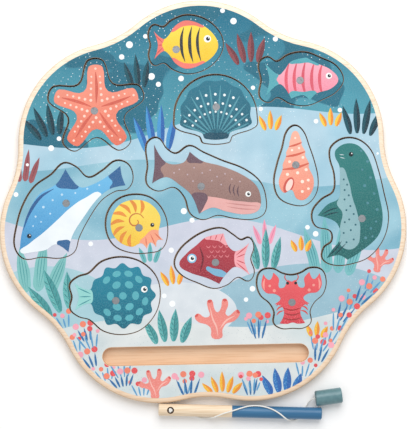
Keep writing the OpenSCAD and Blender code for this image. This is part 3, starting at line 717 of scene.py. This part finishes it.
# %% Whale
mark("whale", "belly", "#e4aba6", [
    [(41, -21), (31, -18.5), (19, -17), (7, -14.5), (-3, -13.5), (-10, -15), (-6, -28, 1), (4, -23.5),
     (14, -26.5), (28, -29.5), (39, -27)]])
mark("whale", "grooves", "#c88884", strokes(
    0.8, [(38, -21.6), (26, -20.4), (14, -18.6)], [(36.5, -24), (26, -23.4), (15, -21.4)]), 2)
mark("whale", "fins", "#6e5560", [
    [(-14, 13), (-12, 21.5, 1), (-2, 12.4), (-8, 11.6)],
    [(-30, 12.6), (-39, 27.5, 1), (-39, 10), (-41.5, -4, 1), (-32, 1.2), (-34, 8)],
    [(-11.5, -12.5), (-6, -27.5, 1), (-1.5, -20), (0.5, -13), (-5, -10.5)]], 2)
mark("whale", "gills", "#5d4550", strokes(1, *(
    [(18 + k, -4.5 - 0.3 * k), (17 + k, -8.5 - 0.3 * k), (18 + k, -12.5 - 0.3 * k)]
    for k in (0, 3, 6))), 2)
mark("whale", "flecks", "#c3adb3", [
    oval(x, y, 0.6) for x, y in ((-20, 7), (-14, 3), (-9, 8), (-3, 4), (3, 6), (8, 1), (14, 3), (19, -1),
                                 (-24, 4.5), (25, -3), (-10, -2), (4, -2), (11, -5))])
eye("whale", 31, -12.4, 2.1)

# %% Dolphin
mark("dolphin", "belly", "#eef4f8", [
    [(-40.5, -29.5), (-33, -22), (-23, -14.5), (-12, -5), (-2, 4), (9, 11), (21, 14.5), (20, 10.5),
     (9, -4), (0, -17), (-4, -30.5, 1), (-13, -24), (-22, -28.5), (-32, -30)]])
mark("dolphin", "fins", "#346596", [
    [(-12.5, 21.4), (-5, 34.5, 1), (5, 19.8), (-4, 18.4)],
    [(28, 17.6), (41, 19.6, 1), (38, 27), (37, 36.5, 1), (27, 27.4), (30, 22.5)],
    [(-12.5, -21.5), (-8.5, -20), (-2.5, -21), (-4, -30.5, 1), (-9, -26)]], 2)
mark("dolphin", "back_line", "#2d5d92", [
    stroke([(-37.5, -12), (-32.5, 1), (-24, 12.5), (-14, 18.5)], 2.4, 0.1)])
mark("dolphin", "flecks", "#bcdcf0", [
    oval(*spot) for spot in ((-28, -2, 0.8), (-22, 5, 1), (-15, 10, 0.8), (-24, -6, 0.6),
                             (-8, 14, 0.9), (2, 15, 0.7), (11, 18, 0.8), (-17, 0, 0.7),
                             (20, 20.5, 0.7), (-30, -9, 0.6))])
mark("dolphin", "eye", "#1a2430", [oval(-33, -16.4, 1.7)], 3)
mark("dolphin", "glint", "#ffffff", [oval(-32.5, -15.8, 0.45)], 4)

# %% Nautilus
stripes = []
for turn in range(62, 250, 26):
    inner_end, outer_end = rotated(8.5, 0, turn), rotated(19.6, 0, turn + 16)
    middle_at = rotated(14, 0, turn + 4)
    stripes.append(stroke([(p[0] - 1, p[1]) for p in (inner_end, middle_at, outer_end)], 2.8, 0.15))
mark("nautilus", "stripes", "#e68f3e", stripes)
spiral = [rotated(6.6 - k * 0.46, 0, 20 + 34 * k) for k in range(12)]
mark("nautilus", "spiral", "#c7713a", [stroke([(x - 1, y + 2) for x, y in spiral], 1, 0.5)], 2)
mark("nautilus", "arms", "#f0a080", [
    [(1.5, -15), (7, -20, 1), (10, -14.8), (14, -19, 1), (15.4, -13.2), (21, -13.4, 1), (17.4, -6.4),
     (12, -4.6), (6, -9)]], 2)
mark("nautilus", "arm_lines", "#cf6a55", strokes(
    0.8, [(6.4, -10), (6.8, -16.4)], [(10, -8), (13.2, -15.6)], [(13, -7), (18, -12.2)]), 3)
mark("nautilus", "eye", "#2a2622", [oval(11.5, -1, 1.5)], 3)
mark("nautilus", "glint", "#ffffff", [oval(11.9, -0.5, 0.4)], 4)

# %% Red fish
mark("red_fish", "fins", "#f3a6ad", [
    [(16, 5.2), (27, 12, 1), (22.6, -1), (27, -14, 1), (16, -6.6), (14.6, -0.6)],
    [(-7, 15), (-5.5, 17.5), (1, 18.8), (8, 20, 1), (10, 10), (3, 13), (-3, 14)]])
tail = strokes(0.8, [(16, 2), (24.4, 8.6)], [(16.4, 0.4), (23, 3)], [(16.4, -1.6), (23, -4.4)],
               [(16, -3.4), (24.4, -10.6)])
top_fin = strokes(0.7, [(-3, 14.4), (-2.2, 17.4)], [(0.6, 13.8), (2.2, 18)], [(4.2, 12.4), (6.4, 17.8)])
mark("red_fish", "fin_lines", "#c4505c", tail + top_fin, 2)
mark("red_fish", "gill", "#741f2d", [stroke([(-11, 9), (-8.8, 0), (-11, -9.5)], 1.5, 0.2)])
scales = []
for row in range(3):
    for k in range(4 - row % 2):
        x, y = -4.5 + 4.6 * k + 2.3 * (row % 2), 8.6 - 3.6 * row
        scales.append(stroke([(x - 1.6, y + 1.1), (x, y - 0.5), (x + 1.6, y + 1.1)], 0.8, 0.3))
mark("red_fish", "scales", "#dc7a80", scales)
mark("red_fish", "side_fin", "#7db3d1", [
    [(-6.5, -6.5), (-1, -7.4), (6.5, -9.5), (9, -13), (3, -13.6), (-3, -11)]], 2)
mark("red_fish", "eye_ring", "#86bfdd", [oval(-17, 0.4, 3.5)], 2)
eye("red_fish", -17, 0.4, 2.4)

# %% Puffer
patches = [oval(*placed(6, 0, 9.4, 0, turn), 3.3, 2.6, turn + 90) for turn in range(0, 360, 60)]
patches += [oval(*placed(6, 0, 17, 0, turn), 3.2, 2.3, turn + 90)
            for turn in range(45, 346, 30) if not 150 < turn < 210]
mark("puffer", "patches", "#57adb8", patches + [oval(6, 0, 2.8)])
mark("puffer", "tail_fin", "#93d2cd", [
    [(-17.5, 4.6), (-31, 10.8, 1), (-27.5, 0), (-31, -10.8, 1), (-17.5, -4.6), (-16.4, 0)]])
mark("puffer", "tail_lines", "#3c8c97", strokes(
    0.8, [(-18, 2), (-27.6, 6.6)], [(-18, 0), (-26.4, 0)], [(-18, -2), (-27.6, -6.6)]), 2)
eye("puffer", 22, 4.6, 2.4)
print(len(patches) + 1, "patches on the puffer")

# %% Lobster
mark("lobster", "segments", "#a32f33", strokes(
    1.1, [(-7, -7), (0, -8.8), (7, -7)], [(-7, -10.6), (0, -12.4), (7, -10.6)],
    [(-7.6, -14.2), (0, -16), (7.6, -14.2)]))
mark("lobster", "claw_shine", "#f29a90", [
    stroke([(s * 20.4, 6.6), (s * 21, 11), (s * 20, 15)], 1.6) for s in (-1, 1)] + [
    oval(s * 13, 6, 1.2) for s in (-1, 1)] + [oval(s * 16.4, 9.6, 1) for s in (-1, 1)])
mark("lobster", "eyes", "#20242a", [oval(s * 3, 11.4, 1.1) for s in (-1, 1)], 2)
legs = [stroke([(s * 6.4, y), (s * 9.6, y - 1), (s * 11.7, y - 3.3)], 1.2, 0.3)
        for s in (-1, 1) for y in (-2.2, -5.6, -9)]
feelers = [stroke([(s * 2.4, 12), (s * 5, 15.4), (s * 4, 19)], 0.8, 0.3) for s in (-1, 1)]
print_on("lobster_ground", "lobster_legs", "#cf4a46", legs + feelers, 1, places["lobster"])
print(len(printed), "prints on the creatures")

# %% [markdown]
# ## Plants
# The plants get a shaded half, midribs and veins. Their clumps repeat the places and leaf shapes that
# the coats were cut with: root, count of leaves, height, leaf width, opening and turn.

# %% Leaves
weeds = [((36, 108), 4, 24, 5, 9, 6), ((-113, 56), 4, 26, 5, 9, 16), ((119, 53), 4, 28, 5, 8, -6),
         ((-46, 91), 3, 24, 4.5, 8, 4)]
fronds = [((-108, -76), 3, 34, 8, 9, 20), ((-27, -99), 4, 26, 6.5, 8, 2), ((46, -46), 3, 29, 6, 6, -2)]
blues = [((-33, 44), 4, 36, 5.5, 6, 3), ((57, -139), 4, 20, 6, 5, 2)]
tufts = [((52, 57), 3, 14, 4, 14, 0), ((97, 59), 3, 13, 4, 14, 0), ((-23, -57), 3, 14, 4, 14, 6),
         ((12, -138), 5, 15, 4, 12, 0), ((83, -98), 3, 11, 4, 14, -6), ((73, -34), 3, 11, 4, 12, 0)]


def on_leaf(clump, k, points):
    """Points set on leaf k of a clump. They are given in widths across and in lengths along it."""
    root, count, tall, width, opening, turn = clump
    t = k - (count - 1) / 2
    foot = placed(*root, t * width, -abs(t) * width * 0.2, turn)
    out = []
    for p in points:
        across = p[0] * width + t * width * 0.4 * p[1] ** 1.5
        up = p[1] * tall * (1 - 0.16 * abs(t))
        out.append((*placed(*foot, across, up, turn - t * opening), *p[2:]))
    return out


def on_each_leaf(clumps, points):
    """The same points set on every leaf of these clumps."""
    return [on_leaf(c, k, points) for c in clumps for k in range(c[1])]


# The right half of a leaf, a little past its edge
HALF = [(0, 0, 1), (0, 0.35), (0, 0.7), (0, 1.02, 1), (0.42, 0.68), (0.55, 0.3), (0.3, 0, 1)]
print(len(on_each_leaf(weeds + fronds + blues + tufts, HALF)), "leaves get a shaded half")

# %% [markdown]
# ## Kelp
# Long lined leaves stand behind the creatures. The board and the pieces were printed together, so one
# clump runs on from the water to the grounds, over the saw cuts.

# %% Kelp


def print_across(coats, name, code, outlines, layer=1):
    """One print that runs on over the saw cuts, on all these coats."""
    for coat in coats:
        print_on(coat, name + "_on_" + coat, code, outlines, layer,
                 (0, 0) if coat.endswith("_ground") else None)


LEAF = [(-0.2, 0), (-0.5, 0.35), (-0.4, 0.7), (0, 1, 1), (0.4, 0.66), (0.5, 0.3), (0.2, 0)]


def kelp(clump, coats, name, leaf_code, line_code):
    """A clump of long leaves, with one line on a narrow leaf and three on a wide one."""
    lines = []
    for k in range(clump[1]):
        for u in (-0.24, 0, 0.24) if clump[3] > 6 else (0,):
            way = [(u * 0.5, 0.06), (u, 0.35), (u * 0.9, 0.62), (u * 0.6, 0.86 - 0.3 * abs(u))]
            lines.append(stroke(on_leaf(clump, k, way), 0.55))
    print_across(coats, name, leaf_code, on_each_leaf([clump], LEAF))
    print_across(coats, name + "_lines", line_code, lines, 2)


both = ("pale_water", "mid_water")
kelp(((96, -50), 4, 46, 8, 6, -3), (*both, "seal_ground"), "right_kelp", "#74b9bd", "#3f9099")
kelp(((-124, -60), 3, 40, 9, 9, -8), (*both, "dolphin_ground"), "left_kelp", "#7cbdbb", "#46979a")
kelp(((46, -28), 3, 18, 3.4, 15, 0), both, "pink_kelp", "#f09db6", "#dd7a98")
kelp(((-40, -40), 3, 15, 3.6, 16, 0), ("pale_water", "nautilus_ground"), "teal_kelp", "#67b3b6",
     "#3f8f96")
kelp(((-132, 22), 3, 24, 4.2, 8, -8), both, "red_kelp", "#9a5358", "#7d3f48")
print(len(printed), "prints so far")

# %% [markdown]
# The right half of each leaf is darker. One clump of weed in the deep water is red. The broad fronds
# have a midrib and short side veins.

# %% Shaded leaves
print_on("weed", "weed_shade", "#0d3441", on_each_leaf(weeds[1:], HALF))
print_on("weed", "red_weed", "#8a474c", [[(14, 100, 1), (62, 100, 1), (62, 142, 1), (14, 142, 1)]])
print_on("weed", "red_weed_shade", "#6f353d", on_each_leaf(weeds[:1], HALF), 2)
print_on("blue_weed", "blue_shade", "#2a63ab", on_each_leaf(blues, HALF))
print_on("sun_tufts", "tuft_shade", "#ea8f34", on_each_leaf(tufts, HALF))
print_on("frond", "frond_shade", "#459798", on_each_leaf(fronds, HALF))
veins = []
for clump in fronds:
    for k in range(clump[1]):
        veins.append(stroke(on_leaf(clump, k, [(0, 0.04), (0, 0.35), (0, 0.65), (0, 0.93)]), 0.6))
        for part in (0.16, 0.32, 0.48, 0.64):
            for s in (-1, 1):
                veins.append(stroke(on_leaf(clump, k, [(s * 0.1, part), (s * 0.24, part + 0.05),
                                                       (s * 0.4, part + 0.12)]), 0.5))
print_on("frond", "frond_veins", "#2c7478", veins, 2)
print(len(veins), "veins")

# %% [markdown]
# ## Coral and flowers
# The corals have red tips and pale lines. Sprigs of three to five stems carry round blossoms in three
# colours, and lower sprigs fill the gaps between them.

# %% Coral
# Each coral is its root, its size and its turn.
tips, bands = [], []
for (x, y), size, turn in (((9, -98), 1.15, 0), ((129, -51), 0.7, -14), ((-38, -142), 0.85, 4)):
    for u, v in ((14.4, 17), (5.4, 24.9), (-4.6, 24.3), (-13.6, 15.2)):
        tips.append(oval(*placed(x, y, u * size, v * size, turn), 1.5 * size))
    for route in ([(0.4, 1), (-0.4, 7), (-2.6, 12), (-4.4, 20)], [(2, 6), (6, 11), (11.6, 14)]):
        bands.append(stroke([placed(x, y, u * size, v * size, turn) for u, v in route], 1.1 * size))
print_on("coral", "coral_tips", "#d65550", tips, 2)
print_on("coral", "coral_lines", "#f7bcb0", bands)
print(len(tips), "tips")

# %% Sprigs
# Each sprig is its root, its count of stems, its height and its turn.
sprigs = [((40, -99), 3, 15, 0), ((-13, -141), 4, 14, 2), ((84, -117), 3, 12, -16),
          ((-62, -133), 5, 9, 10), ((-84, -118), 3, 10, 20), ((33, -141), 3, 13, 2),
          ((101, -87), 3, 13, -28), ((115, -74), 3, 12, -34), ((-88, -98), 3, 10, 14)]
SPRIG_OPEN, STEM_STEP, BLOSSOM = 15, 2.4, 2.3
PINK, CORAL, RED = "#f3a5b5", "#f0846a", "#e04f55"


def stem(root, count, tall, turn, k):
    """Foot and tip of stem k of a sprig, and the middle of its blossom."""
    t = k - (count - 1) / 2
    foot = placed(*root, t * STEM_STEP, 0, turn)
    lean = turn - t * SPRIG_OPEN
    return foot, placed(*foot, 0, tall, lean), placed(*foot, 0, tall + 0.3 + BLOSSOM, lean)


heads = [oval(*stem(*sprig, k)[2], BLOSSOM + 0.2) for sprig in sprigs for k in range(sprig[1])]
print_on("blossoms", "pink_blossoms", PINK, heads[::3])
print_on("blossoms", "coral_blossoms", CORAL, heads[1::3])
print(len(heads), "blossoms, a third of them left red")

# %% Low sprigs
# These are printed straight on the sand and the water. They come in two passes, because the outlines
# of one pass must not cross.
passes = [
    [((-74, -128), 4, 9, 12), ((-48, -140), 4, 9, 4), ((-97, -107), 4, 9, 24), ((93, -103), 4, 10, -24),
     ((109, -80), 4, 11, -30), ((73, -128), 4, 10, -10), ((-16, -139), 3, 9, 0), ((39, -96), 4, 10, 0)],
    [((-85, -104), 4, 12, 16), ((-62, -126), 4, 12, 8), ((-104, -88), 3, 9, 14), ((123, -66), 4, 11, -36),
     ((99, -95), 4, 12, -24), ((84, -109), 4, 10, -14), ((34, -138), 4, 9, 0)],
]
for i, low_sprigs in enumerate(passes):
    low_stems, low_heads = [], []
    for root, count, tall, turn in low_sprigs:
        for k in range(count):
            foot, tip, head = stem(root, count, tall - 2.5 * (k % 2), turn, k)
            low_stems.append(stroke([foot, tip], 1.3, 0.5))
            low_heads.append((*head, 1.4 + 0.3 * (k % 3)))
    for coat in ("sand", "pale_water"):
        print_on(coat, f"low_stems_{coat}_{i}", "#5c9cc8", low_stems, 1 + 3 * i)
        for j, code in enumerate((PINK, CORAL, RED)):
            print_on(coat, f"low_heads_{coat}_{i}_{j}", code,
                     [oval(*head) for head in low_heads[j::3]], 2 + 3 * i)

# %% Bubbles
# The bubbles get a wider rim of the same white. Each is its place and its radius.
bubbles = [(-52, 122, 2), (-58, 113, 1.4), (-40, 128, 1.1), (26, 138, 1.8), (18, 146, 1.2),
           (45, 72, 1), (39.5, 88, 1), (104, 70, 1.1), (-31, 92, 1.3), (-36, 98, 1.9), (-8, -10, 1.3),
           (-14, -3, 1.7), (84, -22, 1.5), (78, -17, 1.1), (-24, -32, 1.4), (-112, 46, 1.6),
           (-106, 53, 1.1), (36, -62, 1.5), (31, -70, 1.1), (-139, 12, 1.2), (57, 124, 1.3),
           (-84, -26, 1.2), (-30, -66, 1.2), (-24, -72, 1.7), (86, 62, 1.2), (-14, 96, 1.5)]
BUBBLE_RIM = 0.6
for coat in water_coats:
    print_on(coat, "bubble_rims_on_" + coat, "#f7fafb",
             [oval(x, y, radius + BUBBLE_RIM) for x, y, radius in bubbles], 3)
print(len(printed), "prints in all")

select_only(*stencils.values())
bpy.ops.object.delete()

# %% [markdown]
# ## Steel, paint and cord
# The discs are cut from zinc-plated steel and are a little dull. The rod is a birch dowel whose long
# end was dipped in satin blue paint. The holder is a short dowel in grey-blue paint, and the magnet
# sits in its far end.

# %% Steel
steel = Finish("zinc_steel", 0.38)
steel.surface.inputs["Metallic"].default_value = 0.75
sheen = steel.mixed(steel.noise(0.35, 4, (8, 1, 1)), ink("#7f8387"), ink("#a0a3a7"))
steel.coloured(steel.mixed(steel.between(steel.noise(2.2, 2), 0.55, 0.75), sheen, ink("#77797d")))
steel.bumped(steel.noise(0.25, 3, (10, 1, 1)), 0.01)
finish_node("steel_discs", steel)

magnet_metal = Finish("magnet_nickel", 0.3)
magnet_metal.surface.inputs["Metallic"].default_value = 0.9
magnet_metal.coloured(magnet_metal.mixed(magnet_metal.noise(1.5, 3), ink("#6c6f73"), ink("#85888c")))
magnet_metal.bumped(magnet_metal.noise(0.3, 3), 0.01)
finish_node("magnet", magnet_metal)
print("steel on two nodes")

# %% Rod and holder
# The middle of the rod's bare end and the rod's turn. The other sizes are measured along the rod.
ROD_START = Vector((-36, -150.978, 5.85))
ROD_TURN = math.radians(-2.6)
BARE_LENGTH = 55
HOLE_IN = 9
CUP_RADIUS = 2.6
HOLDER_FACE = 117
rod_way = Vector((math.cos(ROD_TURN), math.sin(ROD_TURN), 0))
rod_side = Vector((-math.sin(ROD_TURN), math.cos(ROD_TURN), 0))


def along_rod(finish, way=rod_way):
    """Distance from the middle of the rod's bare end, along the rod or to its side."""
    arm = finish.node("ShaderNodeVectorMath", {0: finish.place, 1: ROD_START},
                      operation="SUBTRACT").outputs[0]
    return finish.node("ShaderNodeVectorMath", {0: arm, 1: way},
                       operation="DOT_PRODUCT").outputs["Value"]


rod = Finish("dipped_dowel", 0.5, 0.35)
run = along_rod(rod)
bare = rod.mixed(rod.between(rod.noise(0.9, 4, (30, 1, 1)), 0.4, 0.75), ink("#f3dfc4"), ink("#ddc09c"))
paint = rod.mixed(rod.between(rod.noise(3, 3, (8, 1, 1)), 0.3, 0.7), ink("#33678f"), ink("#40749b"))
edge = rod.maths("ADD", run, rod.times(rod.noise(1.5, 2), 0.5))
dipped = rod.between(edge, BARE_LENGTH + 0.1, BARE_LENGTH + 0.3)
# The cup round the knot is painted dark brown: painted shade in the hole.
from_hole = rod.maths("POWER", rod.maths("SUBTRACT", run, HOLE_IN), 2)
from_hole = rod.maths("ADD", from_hole, rod.maths("POWER", along_rod(rod, rod_side), 2))
painted_cup_shade = rod.between(from_hole, (CUP_RADIUS + 0.05) ** 2, (CUP_RADIUS - 0.05) ** 2)
bare = rod.mixed(painted_cup_shade, bare, ink("#4f3826"))
rod.coloured(rod.mixed(dipped, bare, paint))
rod.rough(rod.maths("ADD", rod.times(dipped, -0.27), 0.55))
rod.bumped(rod.noise(0.45, 4, (25, 1, 1)), 0.03)
finish_node("rod", rod)

holder = Finish("holder_paint", 0.32)
run = along_rod(holder)
coat = holder.mixed(holder.between(holder.noise(2.5, 3), 0.3, 0.7), ink("#577c84"), ink("#64898f"))
# The holder's end face is painted a little darker than its side.
darker_end_face = holder.mixed(holder.noise(0.6, 3), ink("#4a686f"), ink("#5d7c82"))
past_face = holder.between(run, HOLDER_FACE + 0.6, HOLDER_FACE + 0.9)
holder.coloured(holder.mixed(past_face, darker_end_face, coat))
holder.bumped(holder.noise(0.5, 3, (12, 1, 1)), 0.02)
finish_node("magnet_holder", holder)
print("the rod is bare for", BARE_LENGTH, "mm")

# %% [markdown]
# ## The line
# The line is two strands of white cotton, twisted together. It hangs from a knot that sits in a cup
# in the rod, leaves the rod's underside, comes up beside it, arches over the painted part and dips
# below it again on its way to the holder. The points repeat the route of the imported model, in the
# rod's own frame, in millimetres.

# %% Route of the line
LINE_D = 1.1
LINE_STEPS = 14
route = [
    (9, 0, 2.17), (9, 0, -2.4), (9.6, 0, -4.4), (11.6, 0, -5.15), (16, -0.3, -5.2),
    (22, -2.3, -5.2), (28, -4.8, -5.2), (33, -5.9, -4.6), (37, -5.6, -1.9), (40.2, -5, 1.7),
    (44, -3.3, 4.2), (49, -1.1, 5.2), (55, 0.8, 5.25), (61, 2.8, 4.55), (67, 4.4, 3.05),
    (73, 4.85, 2.2), (79, 4.3, 3.2), (85, 2.6, 4.65), (90.2, -0.2, 5.3), (94.2, -3.3, 4.25),
    (96.8, -5.2, 1.1), (99.2, -5.9, -2.6), (102.4, -5.8, -5), (105.6, -3.8, -5.2), (108, -0.2, -5.2),
    (109.9, 3.6, -5.15), (111.9, 7.4, -4.1), (114.1, 10, -1.6), (117, 11, -0.1), (120.946, 11.653, -0.1),
]
route = [Vector(p) for p in route]


def to_board(point):
    """A point of the rod's frame, in millimetres, as a place on the board in metres."""
    turned = Vector(point)
    turned.rotate(Euler((0, 0, ROD_TURN)))
    return (turned + ROD_START) * MM


centre_line = [to_board(p) for p in eased(route, LINE_STEPS)]

# %% [markdown]
# A twisted cord is a tube with two round strands in its section, and the section turns as it runs.

# %% Twisted line
# The tube's sides, the length of one twist and the depth between the strands, as a part of the radius
SIDES = 14
TWIST_RUN = 3.2
STRAND_DEPTH = 0.2


def twisted_tube(name, points, width, closed=False):
    """A two-strand tube along the points, which are in metres."""
    verts, faces = [], []
    side = Vector((0, 1, 0))
    travelled = 0
    for i, p in enumerate(points):
        a = points[i - 1] if i or closed else p
        b = points[(i + 1) % len(points)] if i + 1 < len(points) or closed else p
        way = (b - a).normalized()
        side = (side - way * side.dot(way)).normalized()
        over = way.cross(side)
        travelled += (p - points[i - 1]).length if i else 0
        twist = 2 * math.pi * travelled / (TWIST_RUN * MM)
        for k in range(SIDES):
            turn = 2 * math.pi * k / SIDES
            reach = width / 2 * (1 - STRAND_DEPTH * abs(math.sin(turn - twist)) ** 3)
            verts.append(p + reach * (math.cos(turn) * side + math.sin(turn) * over))
    rings = len(points)
    for i in range(rings if closed else rings - 1):
        j = (i + 1) % rings
        for k in range(SIDES):
            m = (k + 1) % SIDES
            faces.append((i * SIDES + k, i * SIDES + m, j * SIDES + m, j * SIDES + k))
    if not closed:
        faces += [tuple(range(SIDES))[::-1], tuple((rings - 1) * SIDES + k for k in range(SIDES))]
    mesh = bpy.data.meshes.new(name)
    mesh.from_pydata(verts, [], faces)
    made = bpy.data.objects.new(name, mesh)
    bpy.context.collection.objects.link(made)
    merged(made)
    bpy.ops.object.shade_smooth()
    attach(made, "root")
    return made


cotton = Finish("white_cotton", 0.85)
fibre = cotton.noise(0.12, 4, (1, 1, 1))
cotton.coloured(cotton.mixed(cotton.between(fibre, 0.3, 0.75), ink("#e2e0d9"), ink("#fbfaf6")))
cotton.bumped(fibre, 0.05)

line = twisted_tube("twisted_line", centre_line, LINE_D * MM)
line.data.materials.append(cotton.material)
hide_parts("line")

# The knot is the cord wound twice round itself in a small ball that can't slip through the hole.
KNOT_TURN, KNOT_SWELL, KNOT_CORD, KNOT_STEPS = 0.78, 0.42, 0.95, 96
knot_low, knot_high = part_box("line_knot")
knot_middle = (knot_low + knot_high) / 2
loops = []
for i in range(KNOT_STEPS):
    t = 2 * math.pi * i / KNOT_STEPS
    reach = KNOT_TURN + KNOT_SWELL * math.cos(3 * t)
    loops.append(knot_middle + Vector((reach * math.cos(2 * t), reach * math.sin(2 * t),
                                       KNOT_SWELL * math.sin(3 * t))) * MM)
knot = twisted_tube("cotton_knot", loops, KNOT_CORD * MM, closed=True)
knot.data.materials.append(cotton.material)
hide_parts("line_knot")

to_board((HOLE_IN, 0, -4.5))
print("line and knot:", len(line.data.polygons) + len(knot.data.polygons), "faces")
